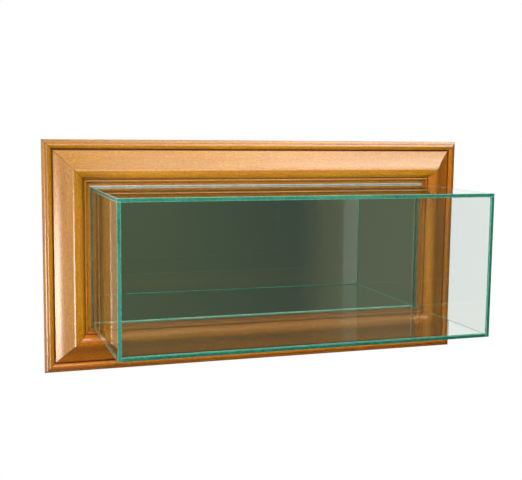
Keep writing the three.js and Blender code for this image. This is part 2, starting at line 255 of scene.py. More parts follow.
def grain_place(tree):
    return add_node(tree, "ShaderNodeUVMap", uv_map="grain").outputs[0]


def rail_layer(tree, name):
    return add_node(tree, "ShaderNodeAttribute", attribute_name=name).outputs["Fac"]


def wood_finish():
    material, tree, shader = new_material("wood_lacquered")
    uv = grain_place(tree)
    broad = noise_at(tree, uv, broad_grain, detail=2, distortion=0.6)
    streak = noise_at(tree, uv, streak_grain, detail=4, roughness=0.6, distortion=0.4)
    mottle = noise_at(tree, uv, mottle_grain, roughness=0.65)
    base = mixed(tree, ramp(tree, broad, 0.3, 0.7, 0.15, 0.85), wood_mid, wood_pale)
    # Painted shade: each rail reddens by its own share, most on the bottom and right rails
    base = mixed(tree, rail_layer(tree, "shade_red"), base, wood_shade_red)
    base = mixed(tree, ramp(tree, streak, 0.42, 0.75, 0, 0.5), base, wood_deep)
    base = mixed(tree, ramp(tree, mottle, 0.43, 0.66, 0, 0.6), base, wood_deep)
    pores = noise_at(tree, uv, pore_grain, detail=1)
    base = mixed(tree, ramp(tree, pores, 0.68, 0.78, 0, 0.55), base, wood_pore)
    # The groove layer holds stain with painted shade in the grooves and painted shade towards the
    # glass
    groove = rail_layer(tree, "groove")
    axes = add_node(tree, "ShaderNodeSeparateXYZ", {0: object_place(tree)}).outputs
    side = math_node(tree, "ABSOLUTE", axes[0])
    height = math_node(tree, "ABSOLUTE", axes[2])
    lean = math_node(tree, "SUBTRACT", side, height)
    lean = math_node(tree, "SUBTRACT", lean, half_width - half_height)
    from_mitre = math_node(tree, "ABSOLUTE", lean)
    line = ramp(tree, from_mitre, mitre_line, mitre_fade, mitre_dark_share, 0)
    dark = math_node(tree, "MAXIMUM", math_node(tree, "MULTIPLY", groove, dark_share), line)
    flat = add_node(tree, "ShaderNodeCombineXYZ", {0: axes[0], 2: axes[2]}).outputs[0]
    # Painted shade: dark spots where gaps at the glass look dark
    for x, z in gap_shade_spots:
        away = add_node(
            tree, "ShaderNodeVectorMath", {0: flat, 1: (x, 0, z)}, operation="DISTANCE"
        ).outputs["Value"]
        gap_shade = ramp(tree, away, gap_shade_core, gap_shade_edge, dark_share, 0)
        dark = math_node(tree, "MAXIMUM", dark, gap_shade)
    peel = noise_at(tree, uv, peel_grain, detail=2)
    raised = math_node(tree, "ADD", streak, pores)
    first = bump(tree, peel, peel_depth, 0.5)
    set_inputs(
        shader, Base_Color=mixed(tree, dark, base, wood_groove),
        Roughness=ramp(tree, mottle, 0.3, 0.75, 0.3, 0.44),
        Coat_Weight=0.7, Coat_Roughness=0.23, IOR=1.45, Specular_IOR_Level=0.2,
        Normal=bump(tree, raised, pore_depth, 0.6, first)
    )
    return material


raw_pale = colour(206, 170, 122)
raw_dark = colour(168, 124, 76)
raw_depth = 0.1 * MM


def wood_raw():
    material, tree, shader = new_material("wood_raw")
    uv = grain_place(tree)
    streak = noise_at(tree, uv, raw_grain, detail=4, roughness=0.6)
    spread = noise_at(tree, object_place(tree), (40, 40, 40), detail=2)
    base = mixed(tree, ramp(tree, streak, 0.35, 0.7), raw_pale, raw_dark)
    base = mixed(tree, ramp(tree, spread, 0.5, 0.75, 0, 0.35), base, wood_deep)
    set_inputs(shader, Base_Color=base, Roughness=0.72, Normal=bump(tree, streak, raw_depth, 0.7))
    return material


# Glass: clear faces, ground edges and lighter arrises; lit and dim copies of the edge and arris
# colours paint the light and shade that fall on the panes
glass_tint = (0.955, 0.985, 0.968, 1)
glass_shade = (0.82, 0.85, 0.835, 1)
edge_deep = colour(6, 110, 88)
edge_bright = colour(84, 196, 168)
edge_glow = colour(96, 214, 180)
edge_dark = colour(16, 74, 60)
arris_low = colour(78, 174, 146)
arris_pale = colour(170, 230, 206)
arris_dim = colour(40, 138, 112)
arris_mid = colour(104, 192, 162)
edge_depth = 0.06 * MM
mirror_tint = (0.85, 0.9, 0.87, 1)


def lets_light_through(tree, shader):
    rays = add_node(tree, "ShaderNodeLightPath").outputs
    clear = add_node(tree, "ShaderNodeBsdfTransparent", {0: glass_shade})
    mix_to_output(tree, rays["Is Shadow Ray"], shader, clear)


def glass_clear():
    material, tree, shader = new_material("glass_clear")
    set_inputs(
        shader, Base_Color=glass_tint, Roughness=0, IOR=1.52, Transmission_Weight=1
    )
    lets_light_through(tree, shader)
    return material


def glass_edge(name, glow_low, glow_high):
    material, tree, shader = new_material(name)
    place = object_place(tree)
    cloud = noise_at(tree, place, (170, 170, 170), roughness=0.6)
    fleck = noise_at(tree, place, (650, 650, 650), detail=2, roughness=0.7)
    drift = noise_at(tree, place, (13, 13, 13), detail=1)
    base = mixed(tree, ramp(tree, cloud, 0.4, 0.75, 0, 0.4), edge_deep, edge_bright)
    base = mixed(tree, ramp(tree, fleck, 0.6, 0.75, 0, 0.8), base, edge_bright)
    # Painted light: patches of brighter green glow, strong on the lit copy and faint on the dim
    # one
    base = mixed(tree, ramp(tree, drift, 0.4, 0.62, glow_low, glow_high), base, edge_glow)
    set_inputs(
        shader, Base_Color=base, Roughness=ramp(tree, fleck, 0.3, 0.7, 0.2, 0.45),
        Coat_Weight=0.3, Coat_Roughness=0.2, Normal=bump(tree, fleck, edge_depth, 0.5)
    )
    return material


def glass_arris(name, low, high):
    return mottled(
        name, (420, 420, 420), (0.35, 0.65), low, high,
        grit=0.7, depth=0.05 * MM, strength=0.6, Roughness=0.4
    )


def mirror_face():
    material, tree, shader = new_material("mirror_silver")
    film = noise_at(tree, object_place(tree), (12, 12, 12), detail=4, roughness=0.6)
    haze = ramp(tree, film, 0.4, 0.8, 0, 0.03)
    set_inputs(shader, Base_Color=mirror_tint, Metallic=1, Roughness=haze)
    return material


def silicone(name, clearness, low, high):
    return mottled(
        name, (120, 120, 120), (0.3, 0.7), low, high,
        depth=0.15 * MM, Roughness=0.32, IOR=1.41, Transmission_Weight=clearness
    )


board_depth = 0.15 * MM
plate_depth = 0.02 * MM


def hardboard():
    material, tree, shader = new_material("hardboard")
    place = object_place(tree)
    fibre = noise_at(tree, place, (420, 420, 420), detail=4, roughness=0.7, distortion=1.2)
    broad = noise_at(tree, place, (14, 14, 14), detail=2)
    base = mixed(tree, ramp(tree, fibre, 0.35, 0.7), colour(96, 66, 42), colour(142, 104, 70))
    base = mixed(tree, ramp(tree, broad, 0.4, 0.7, 0, 0.4), base, colour(84, 56, 36))
    set_inputs(shader, Base_Color=base, Roughness=0.82, Normal=bump(tree, fibre, board_depth, 0.7))
    return material


def plated(name, dark, pale, rough_low, rough_high):
    material, tree, shader = new_material(name)
    place = object_place(tree)
    patch = noise_at(tree, place, (300, 300, 300), roughness=0.6)
    brushed = noise_at(tree, place, (260, 260, 3800), detail=2)
    set_inputs(
        shader, Base_Color=mixed(tree, ramp(tree, patch, 0.3, 0.7), dark, pale), Metallic=1,
        Roughness=ramp(tree, brushed, 0.3, 0.7, rough_low, rough_high),
        Normal=bump(tree, brushed, plate_depth, 0.4)
    )
    return material


wood_material = wood_finish()
raw_material = wood_raw()
clear_material = glass_clear()
# Lit and dim copies of the edge and arris colours: painted light and painted shade
edge_material = glass_edge("glass_edge_dim", 0, 0.06)
edge_lit_material = glass_edge("glass_edge_lit", 0.12, 0.42)
arris_material = glass_arris("glass_arris_dim", arris_dim, arris_mid)
arris_lit_material = glass_arris("glass_arris_lit", arris_low, arris_pale)
# Painted shade: the pane ends that sit in the frame take this darker colour
back_end_material = mottled(
    "glass_back_end", (240, 240, 240), (0.35, 0.7), edge_dark, edge_deep,
    grit=0.6, depth=0.05 * MM, Roughness=0.5
)
mirror_material = mirror_face()
paint_material = mottled(
    "mirror_back_paint", (60, 60, 60), (0.3, 0.7), colour(96, 98, 100), colour(124, 126, 128),
    Roughness=0.6
)
silicone_material = silicone("silicone_clear", 0.9, colour(240, 222, 170), colour(250, 240, 206))
# Painted light: a whiter, less clear copy for the top side, on which the light from above falls
top_lit_sealant_material = silicone("silicone_top_lit", 0.35, colour(204, 216, 208), colour(232, 240, 234))
board_material = hardboard()
zinc_material = plated("zinc_plate", colour(168, 170, 174), colour(206, 208, 212), 0.25, 0.42)
nickel_material = plated("nickel_plate", colour(196, 196, 198), colour(224, 224, 224), 0.12, 0.2)
tape_material = mottled(
    "foam_tape", (1800, 1800, 1800), (0.35, 0.7), colour(214, 214, 208), colour(238, 238, 232),
    detail=2, depth=0.08 * MM, strength=0.8, Roughness=0.9
)
ribbon_material = mottled(
    "ribbon_weave", (3600, 400, 400), (0.3, 0.7), colour(20, 20, 23), colour(52, 52, 58),
    detail=2, depth=0.05 * MM, strength=0.8, Roughness=0.75, Sheen_Weight=0.4, Sheen_Roughness=0.4
)
rubber_material = mottled(
    "bumper_rubber", (500, 500, 500), (0.4, 0.8), colour(38, 38, 40), colour(66, 66, 68),
    depth=0.04 * MM, Roughness=0.62
)


# Mesh helpers
def add_object(name, mesh, materials):
    for material in materials:
        mesh.materials.append(material)
    made = bpy.data.objects.new(name, mesh)
    bpy.context.scene.collection.objects.link(made)
    return made


def from_bmesh(name, shape, materials, sharp=smooth_turn):
    bmesh.ops.recalc_face_normals(shape, faces=shape.faces)
    mesh = bpy.data.meshes.new(name)
    shape.to_mesh(mesh)
    shape.free()
    mesh.shade_smooth()
    mesh.set_sharp_from_angle(angle=sharp)
    return add_object(name, mesh, materials)


# What the gloss lamps shine on, all the wood or the left rail
wood_pieces = bpy.data.collections.new("wood_pieces")
left_pieces = bpy.data.collections.new("left_pieces")


def finish_piece(piece, body, node, slot):
    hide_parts(node)
    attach(piece, body)
    if slot == "wood":
        wood_pieces.objects.link(piece)
    if node == "frame_rail_left":
        left_pieces.objects.link(piece)


def cut_away(piece, cutters):
    """Cuts objects out of a piece and deletes them; its cut walls take their material number."""
    for cutter in cutters:
        modifier = piece.modifiers.new("cut", "BOOLEAN")
        modifier.object = cutter
        modifier.operation = "DIFFERENCE"
        modifier.solver = "EXACT"
    bpy.context.view_layer.update()
    graph = bpy.context.evaluated_depsgraph_get()
    whole = bpy.data.meshes.new_from_object(piece.evaluated_get(graph))
    piece.modifiers.clear()
    piece.data = whole
    whole.set_sharp_from_angle(angle=smooth_turn)
    for cutter in cutters:
        bpy.data.objects.remove(cutter)


def rounded_outline(half_x, half_z, radius, steps=8):
    points = []
    for turn, (sign_x, sign_z) in enumerate(((1, 1), (-1, 1), (-1, -1), (1, -1))):
        for i in range(steps + 1):
            angle = (turn + i / steps) * math.pi / 2
            points.append((
                sign_x * (half_x - radius) + radius * math.cos(angle),
                sign_z * (half_z - radius) + radius * math.sin(angle)
            ))
    return points


def skin_rings(shape, rings, close_ends=True):
    """Joins rings of points, each a list of the same length, into a skin with flat ends."""
    made = [[shape.verts.new(point) for point in ring] for ring in rings]
    count = len(rings[0])
    for near, far in zip(made, made[1:]):
        for i in range(count):
            j = (i + 1) % count
            shape.faces.new((near[i], near[j], far[j], far[i]))
    if close_ends:
        shape.faces.new(made[0])
        shape.faces.new(made[-1])


def ring_at(centre, y, outline):
    return [(centre[0] + x, y, centre[1] + z) for x, z in outline]


def plate_shape(outline_at, front_y, back_y, centre, ease, rim_steps=3):
    """A plate in X and Z with rounded rims; outline_at(inset) gives its outline."""
    shape = bmesh.new()
    rings = []
    turns = [i / rim_steps * math.pi / 2 for i in range(rim_steps + 1)]
    for y, sign, angles in ((front_y, 1, turns), (back_y, -1, turns[::-1])):
        for angle in angles:
            inset = ease * (1 - math.sin(angle))
            depth = y + sign * ease * (1 - math.cos(angle))
            rings.append(ring_at(centre, depth, outline_at(inset)))
    skin_rings(shape, rings)
    return shape


def turned_shape(profile, centre, steps=48):
    """A solid of revolution about Y through centre; profile lists (radius, y), axis to axis."""
    shape = bmesh.new()
    rings = []
    for radius, y in profile:
        if radius == 0:
            rings.append([shape.verts.new((centre[0], y, centre[1]))])
            continue
        ring = []
        for i in range(steps):
            angle = 2 * math.pi * i / steps
            x = centre[0] + radius * math.cos(angle)
            ring.append(shape.verts.new((x, y, centre[1] + radius * math.sin(angle))))
        rings.append(ring)
    for near, far in zip(rings, rings[1:]):
        for i in range(steps):
            j = (i + 1) % steps
            if len(near) == 1:
                shape.faces.new((near[0], far[j], far[i]))
            elif len(far) == 1:
                shape.faces.new((near[i], near[j], far[0]))
            else:
                shape.faces.new((near[i], near[j], far[j], far[i]))
    return shape


def middle(low, high):
    return (low + high) / 2


def flat_centre(low, high):
    return (middle(low.x, high.x), middle(low.z, high.z))


# Moulding section
def quadratic(start, bend, end, steps=curve_steps):
    points = []
    for i in range(1, steps + 1):
        t = i / steps
        points.append(tuple(
            (1 - t) ** 2 * a + 2 * t * (1 - t) * b + t ** 2 * c
            for a, b, c in zip(start, bend, end)
        ))
    return points


def section_path():
    """The moulding's outline and the number of its points that are finished wood."""
    bead_start = ovolo_width
    bead_end = bead_start + bead_width
    cove_start = bead_end + groove_width
    inner_bead_end = moulding_width - lip_width
    inner_bead_start = inner_bead_end - inner_bead_width
    fall_end = inner_bead_start - inner_groove_width
    band_end = fall_end - fall_width
    ridge_end = band_end - band_width
    ridge_start = ridge_end - ridge_width
    cove_width = ridge_start - cove_start
    cove_rise = ridge_foot_rise - cove_foot_rise
    path = [(0, 0), (0, edge_rise)]
    across_share, rise_share = ovolo_bend_shares
    bend = (ovolo_width * across_share, edge_rise + (ovolo_rise - edge_rise) * rise_share)
    path += quadratic(path[-1], bend, (bead_start, ovolo_rise))
    path += [(bead_start, ovolo_rise - quirk_drop)]
    crown = (bead_start + bead_width * bead_crown_share, bead_rise)
    outer_share, inner_share = bead_bend_shares
    bend = (bead_start + (crown[0] - bead_start) * outer_share, bead_rise)
    path += quadratic(path[-1], bend, crown)
    bend = (crown[0] + (bead_end - crown[0]) * inner_share, bead_rise)
    path += quadratic(crown, bend, (bead_end, bead_shoulder_rise))
    path += [(bead_end, groove_rise), (cove_start, groove_rise), (cove_start, cove_foot_rise)]
    across_share, rise_share = cove_bend_shares
    bend = (cove_start + cove_width * across_share, cove_foot_rise + cove_rise * rise_share)
    path += quadratic(path[-1], bend, (ridge_start, ridge_foot_rise))
    bend = (ridge_start + ridge_width * ridge_bend_share, ridge_top_rise)
    path += quadratic(path[-1], bend, (ridge_end, ridge_top_rise))
    bend = (ridge_end + band_width * band_bend_share, ridge_top_rise)
    path += quadratic(path[-1], bend, (band_end, band_back_rise))
    path += [(fall_end, fall_rise), (fall_end, inner_groove_rise)]
    path += [(inner_bead_start, inner_groove_rise)]
    crown = (inner_bead_start + inner_bead_width / 2, inner_bead_rise)
    path += quadratic(path[-1], (inner_bead_start, inner_bead_rise), crown)
    path += quadratic(crown, (inner_bead_end, inner_bead_rise), (inner_bead_end, lip_rise))
    path += [(moulding_width, lip_rise), (moulding_width, ledge_rise)]
    finished = len(path)
    board_ledge_across = moulding_width - ledge_width - board_ledge_width
    path += [
        (moulding_width - ledge_width, ledge_rise),
        (moulding_width - ledge_width, board_ledge_rise),
        (board_ledge_across, board_ledge_rise), (board_ledge_across, 0)
    ]
    return path, finished


def distance(first, second):
    return math.hypot(second[0] - first[0], second[1] - first[1])


def eased_path(path, finished):
    """Rounds sharp corners; gives points as (across, rise, arc length, is finished)."""
    count = len(path)
    arcs = [0]
    for i in range(count):
        arcs.append(arcs[-1] + distance(path[i], path[(i + 1) % count]))
    total = arcs[-1]
    finish_end = arcs[finished - 1]

    def at(arc):
        arc = arc % total
        i = max(k for k in range(count) if arcs[k] <= arc)
        span = arcs[i + 1] - arcs[i]
        t = (arc - arcs[i]) / span
        a, b = path[i], path[(i + 1) % count]
        return (a[0] + (b[0] - a[0]) * t, a[1] + (b[1] - a[1]) * t)

    def turn_at(i):
        a, b, c = path[i - 1], path[i], path[(i + 1) % count]
        first = math.atan2(b[1] - a[1], b[0] - a[0])
        second = math.atan2(c[1] - b[1], c[0] - b[0])
        return abs((second - first + math.pi) % (2 * math.pi) - math.pi)

    corners = [i for i in range(count) if turn_at(i) > sharp_turn]
    points = []
    for i in range(count):
        if i in corners:
            k = corners.index(i)
            before = arcs[i] - arcs[corners[k - 1]]
            after = arcs[corners[(k + 1) % len(corners)]] - arcs[i]
            reach = min(wood_ease, ease_reach_share * min(before % total, after % total))
            start, end = at(arcs[i] - reach), at(arcs[i] + reach)
            points.append((*start, arcs[i] - reach))
            for step, point in enumerate(quadratic(start, path[i], end, ease_steps)):
                points.append((*point, arcs[i] - reach + 2 * reach * (step + 1) / ease_steps))
        else:
            gaps = [abs((arcs[i] - arcs[k] + total / 2) % total - total / 2) for k in corners]
            if min(gaps) > wood_ease:
                points.append((*path[i], arcs[i]))
    return [(across, rise, arc, arc <= finish_end) for across, rise, arc in points]


def groove_depth(points, i):
    """How far a point of the section lies below its neighbours on both sides."""
    across, rise = points[i][:2]
    before = [p[1] for p in points if p[3] and across - groove_reach <= p[0] <= across]
    after = [p[1] for p in points if p[3] and across <= p[0] <= across + groove_reach]
    if not (points[i][3] and before and after):
        return 0
    return max(0, min(max(before), max(after)) - rise)


def rail_shape(length, grain_offset, shade_red_share):
    """One stick of moulding along X with mitred ends, its outer edge on z = 0."""
    points = eased_path(*section_path())
    shape = bmesh.new()
    groove = shape.verts.layers.float.new("groove")
    shade_red = shape.verts.layers.float.new("shade_red")
    grain = shape.loops.layers.uv.new("grain")
    fade_from = moulding_width - lip_width - lip_fade
    rows = []
    for side in (-1, 1):
        row = []
        for i, (across, rise, arc, finished_wood) in enumerate(points):
            along = side * (length / 2 - across - mitre_gap / 2)
            vert = shape.verts.new((along, back_plane - rise, across))
            # Stain with painted shade: the deeper a point lies between its neighbours, the darker
            shade = min(1, groove_depth(points, i) / groove_deepest)
            # Painted shade: the inner bead and lip darken towards the glass
            if finished_wood and fade_from < across < moulding_width:
                lip_shade = lip_shade_share * min(1, (across - fade_from) / lip_fade)
                shade = max(shade, lip_shade)
            vert[groove] = shade
            vert[shade_red] = shade_red_share
            row.append(vert)
        rows.append(row)
    count = len(points)
    total = points[-1][2] + wood_ease
    for i in range(count):
        j = (i + 1) % count
        face = shape.faces.new((rows[0][i], rows[0][j], rows[1][j], rows[1][i]))
        face.material_index = 0 if points[i][3] and points[j][3] else 1
        arcs = (points[i][2], points[j][2] if j else total)
        for loop, arc in zip(face.loops, (arcs[0], arcs[1], arcs[1], arcs[0])):
            loop[grain].uv = (loop.vert.co.x + grain_offset, arc + grain_offset)
    for row in rows:
        end = shape.faces.new(row)
        end.material_index = 1
        for loop in end.loops:
            loop[grain].uv = (loop.vert.co.y, loop.vert.co.z)
    return shape


# What is cut into the back of the rails
def box_shape(low, high):
    shape = bmesh.new()
    bmesh.ops.create_cube(shape, size=1)
    size = [b - a for a, b in zip(low, high)]
    centre = [(a + b) / 2 for a, b in zip(low, high)]
    bmesh.ops.scale(shape, vec=size, verts=shape.verts)
    bmesh.ops.translate(shape, vec=centre, verts=shape.verts)
    return shape


def cutter_from(shape):
    for face in shape.faces:
        face.material_index = 1
    return from_bmesh("cutter", shape, [wood_material, raw_material])


def bar_cutter(radius, front_y, back_y, centre):
    profile = [(0, front_y), (radius, front_y), (radius, back_y), (0, back_y)]
    return cutter_from(turned_shape(profile, centre, 32))


def round_cutter(node, before, behind):
    """A bar a clearance wider than a round piece, reaching past it in front and behind."""
    low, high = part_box(node)
    radius = (high.x - low.x) / 2 + let_in_gap
    return bar_cutter(radius, low.y - before, high.y + behind, flat_centre(low, high))


nail_thickness = 0.8 * MM
nail_leg = 7 * MM


def nail_cutter(node):
    """The V slot of a corner nail, a clearance wider than the nail all round, open at the back."""
    low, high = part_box(node)
    centre = middle(low, high)
    inward = Vector((-math.copysign(1, centre.x), -math.copysign(1, centre.z)))
    tip_x = low.x if inward.x > 0 else high.x
    tip_z = low.z if inward.y > 0 else high.z
    wide = nail_thickness / 2 + let_in_gap
    reach = nail_leg + let_in_gap
    tip = Vector((tip_x, tip_z)) + inward * nail_thickness * math.sqrt(0.5) * 0.5
    shapes = []
    for leg_x, leg_z in ((inward.x, 0), (0, inward.y)):
        along = Vector((leg_x, leg_z))
        side = Vector((leg_z, leg_x))
        start = tip - along * wide
        end = tip + along * reach
        corners = [start - side * wide, end + side * wide]
        low_x, high_x = sorted((corners[0].x, corners[1].x))
        low_z, high_z = sorted((corners[0].y, corners[1].y))
        shapes.append(cutter_from(box_shape(
            (low_x, low.y - let_in_gap, low_z), (high_x, back_plane + cut_overrun, high_z)
        )))
    return shapes


corner_words = ("top_left", "top_right", "bottom_left", "bottom_right")
pocket_depth = 5 * MM
pocket_radius = 5.4 * MM
slot_length = 11 * MM
slot_radius = 2.2 * MM
entry_radius = 4.6 * MM
plate_ease = 0.18 * MM
cutter_ease = 0.01 * MM


def keyhole_cutters(word):
    low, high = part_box(f"keyhole_plate_{word}")
    centre = flat_centre(low, high)
    half_x = (high.x - low.x) / 2 + let_in_gap
    half_z = (high.z - low.z) / 2 + let_in_gap
    recess_y = low.y - let_in_gap
    behind = back_plane + cut_overrun
    recess = plate_shape(
        lambda inset: rounded_outline(half_x - inset, half_z - inset, half_x - inset, 10),
        recess_y, behind, centre, cutter_ease
    )
    pocket = plate_shape(
        lambda inset: rounded_outline(
            pocket_radius - inset, pocket_radius + slot_length / 2 - inset, pocket_radius - inset
        ),
        recess_y - pocket_depth, behind, centre, cutter_ease
    )
    return [cutter_from(recess), cutter_from(pocket)]


def rail_cutters(word):
    cutters = []
    for corner in corner_words:
        if word in corner.split("_"):
            for number in (1, 2):
                cutters += nail_cutter(f"corner_nail_{corner}_{number}")
            if word in ("top", "bottom"):
                cutters.append(round_cutter(f"magnet_{corner}", let_in_gap, cut_overrun))
    if word in ("left", "right"):
        cutters += keyhole_cutters(word)
    return cutters


# Each rail's length, turn about Y, middle of its outer edge, shift of the grain and share of a red
# painted shade, most on the bottom and right rails
rails = {
    "top": (2 * half_width, math.pi, (0, 0, half_height), 0.31, 0),
    "bottom": (2 * half_width, 0, (0, 0, -half_height), 1.47, 0.5),
    "left": (2 * half_height, math.pi / 2, (-half_width, 0, 0), 2.83, 0.05),
    "right": (2 * half_height, -math.pi / 2, (half_width, 0, 0), 3.59, 0.4)
}


def add_rails():
    for word, (length, turn, place, grain_offset, shade_red_share) in rails.items():
        shape = rail_shape(length, grain_offset, shade_red_share)
        matrix = Matrix.Translation(place) @ Matrix.Rotation(turn, 4, "Y")
        bmesh.ops.transform(shape, matrix=matrix, verts=shape.verts)
        rail = from_bmesh(f"rail_{word}", shape, [wood_material, raw_material])
        cut_away(rail, rail_cutters(word))
        finish_piece(rail, "case", f"frame_rail_{word}", "wood")


# Glass
def add_pane(node, thin_axis):
    """A pane's faces are clear, its edges ground and its arrises pale; the top and left panes take
    lit copies of the edge and arris colours, a painted light, and the back ends a painted shade.
    """
    low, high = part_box(node)
    shape = box_shape(low, high)
    bmesh.ops.bevel(
        shape, geom=shape.edges, offset=arris, segments=1, profile=0.5, affect="EDGES"
    )
    shape.normal_update()
    for face in shape.faces:
        parts = [abs(part) for part in face.normal]
        if max(parts) < flat_share:
            face.material_index = 2
        elif parts[thin_axis] < flat_share:
            face.material_index = 1
        # Painted shade on the back ends in the frame, except the floor pane's, which takes the lit
        # arris colour as painted light
        if thin_axis != 1 and face.calc_center_median().y > high.y - arris:
            face.material_index = 4 if node == "glass_floor" else 3
    # Painted light: the top and left panes, on the lamps' side, take the lit edge and arris
    # colours; the other panes take the dim ones
    if node in ("glass_top", "glass_left"):
        edges = [edge_lit_material, arris_lit_material]
    else:
        edges = [edge_material, arris_material]
    pane = from_bmesh(
        node.replace("glass_", "pane_"), shape,
        [clear_material, *edges, back_end_material, arris_lit_material], flat_face_turn
    )
    finish_piece(pane, "case", node, "glass")


seal_stations = 60
seal_face_steps = 6
seal_stand = 0.13 * MM
seal_sag_share = 0.32
seal_sink_share = 0.35
seal_turn = math.radians(40)
weld_reach = 0.001 * MM
wobble_height = 0.25 * MM
wobble_middle = 0.6
wobble_scales = (60, 200)


def add_sealant():
    """A hand-run bead: the CAD ring's section with a rounded face and a slight wobble."""
    low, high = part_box("sealant_ring")
    box_half_x, _, box_half_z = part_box("glass_top")[1]
    gap = glass_stand + seal_stand
    lap = high.x - box_half_x
    wood_side = half_width - moulding_width - box_half_x - gap
    low_rise = back_plane - high.y
    foot_rise = back_plane - low.y
    face_rise = lip_rise + gap
    face = []
    for i in range(seal_face_steps + 1):
        t = i / seal_face_steps
        out = lap + (gap - lap) * t
        sag = seal_sag_share * math.sin(math.pi * t)
        rise = face_rise + (foot_rise - face_rise) * t
        face.append((out * (1 - sag), rise - (foot_rise - face_rise) * sag * seal_sink_share))
    section = [(gap, low_rise), (wood_side, low_rise), (wood_side, face_rise)] + face
    corners = [(1, 1), (-1, 1), (-1, -1), (1, -1)]
    shape = bmesh.new()
    rings = []
    for turn, (sign_x, sign_z) in enumerate(corners):
        next_x, next_z = corners[(turn + 1) % 4]
        for station in range(seal_stations):
            t = station / seal_stations
            ring = []
            for number, (out, rise) in enumerate(section):
                start = Vector((sign_x * (box_half_x + out), sign_z * (box_half_z + out)))
                end = Vector((next_x * (box_half_x + out), next_z * (box_half_z + out)))
                point = start.lerp(end, t)
                if 3 < number < len(section) - 1:
                    flat, deep = wobble_scales
                    spot = Vector((point.x * flat, rise * deep, point.y * flat))
                    rise += wobble_height * (noise.noise(spot) - wobble_middle)
                ring.append((point.x, back_plane - rise, point.y))
            rings.append(ring)
    rings.append(rings[0])
    skin_rings(shape, rings, close_ends=False)
    bmesh.ops.remove_doubles(shape, verts=shape.verts, dist=weld_reach)
    # Painted light: faces on the top side take the whiter copy
    for face in shape.faces:
        centre = face.calc_center_median()
        if centre.z > box_half_z - glass_stand:
            face.material_index = 1
    ring = from_bmesh(
        "sealant_bead", shape, [silicone_material, top_lit_sealant_material], seal_turn
    )
    finish_piece(ring, "case", "sealant_ring", "silicone")


# Back panel
plate_corner = 3 * MM
board_ease = 0.4 * MM
face_reach = 0.01 * MM


def sheet_shape(low, high, ease, rim_steps=3):
    return plate_shape(
        lambda inset: rounded_outline(high.x - inset, high.z - inset, plate_corner - inset),
        low.y, high.y, (0, 0), ease, rim_steps
    )


def add_mirror():
    low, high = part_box("back_mirror")
    shape = sheet_shape(low, high, arris, 1)
    for face in shape.faces:
        depth = face.calc_center_median().y
        if depth < low.y + face_reach:
            face.material_index = 0
        elif depth > high.y - face_reach:
            face.material_index = 2
        else:
            face.material_index = 1
    mirror = from_bmesh(
        "mirror_plate", shape, [mirror_material, edge_material, paint_material], flat_face_turn
    )
    finish_piece(mirror, "back_panel", "back_mirror", "mirror")


rivet_shank = 1.5 * MM
rivet_head = 1 * MM
rivet_rim = 0.2 * MM
rivet_centre = flat_centre(*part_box("pull_rivet"))


def rivet_cutter(low, high):
    radius = rivet_shank + let_in_gap
    return bar_cutter(radius, low.y - cut_overrun, high.y + cut_overrun, rivet_centre)


def add_board():
    low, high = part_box("back_board")
    shape = sheet_shape(low, high, board_ease)
    board = from_bmesh("hardboard_back", shape, [board_material] * 2)
    cutters = [
        round_cutter(f"strike_disc_{corner}", cut_overrun, let_in_gap) for corner in corner_words
    ]
    cut_away(board, cutters + [rivet_cutter(low, high)])
    finish_piece(board, "back_panel", "back_board", "board")


def coin_profile(radius, front_y, back_y, ease, steps=4):
    turns = [i / steps * math.pi / 2 for i in range(steps + 1)]
    rim = [(radius - ease * (1 - math.sin(a)), ease * (1 - math.cos(a))) for a in turns]
    front = [(across, front_y + deep) for across, deep in rim]
    back = [(across, back_y - deep) for across, deep in reversed(rim)]
    return [(0, front_y)] + front + back + [(0, back_y)]


disc_ease = 0.15 * MM
magnet_ease = 0.3 * MM


def add_coins():
    for corner in corner_words:
        for kind, body, material, slot, ease in (
            ("strike_disc", "back_panel", zinc_material, "steel", disc_ease),
            ("magnet", "case", nickel_material, "magnet", magnet_ease)
        ):
            node = f"{kind}_{corner}"
            low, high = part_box(node)
            centre = flat_centre(low, high)
            profile = coin_profile((high.x - low.x) / 2, low.y, high.y, ease)
            coin = from_bmesh(f"{kind}_{corner}_turned", turned_shape(profile, centre), [material])
            finish_piece(coin, body, node, slot)


ribbon_end_radius = 4 * MM
rib_pitch = 0.9 * MM
rib_height = 0.14 * MM
rib_rows = 6
rib_fade_share = 0.125
ribbon_columns = 24
ribbon_turn = math.radians(50)


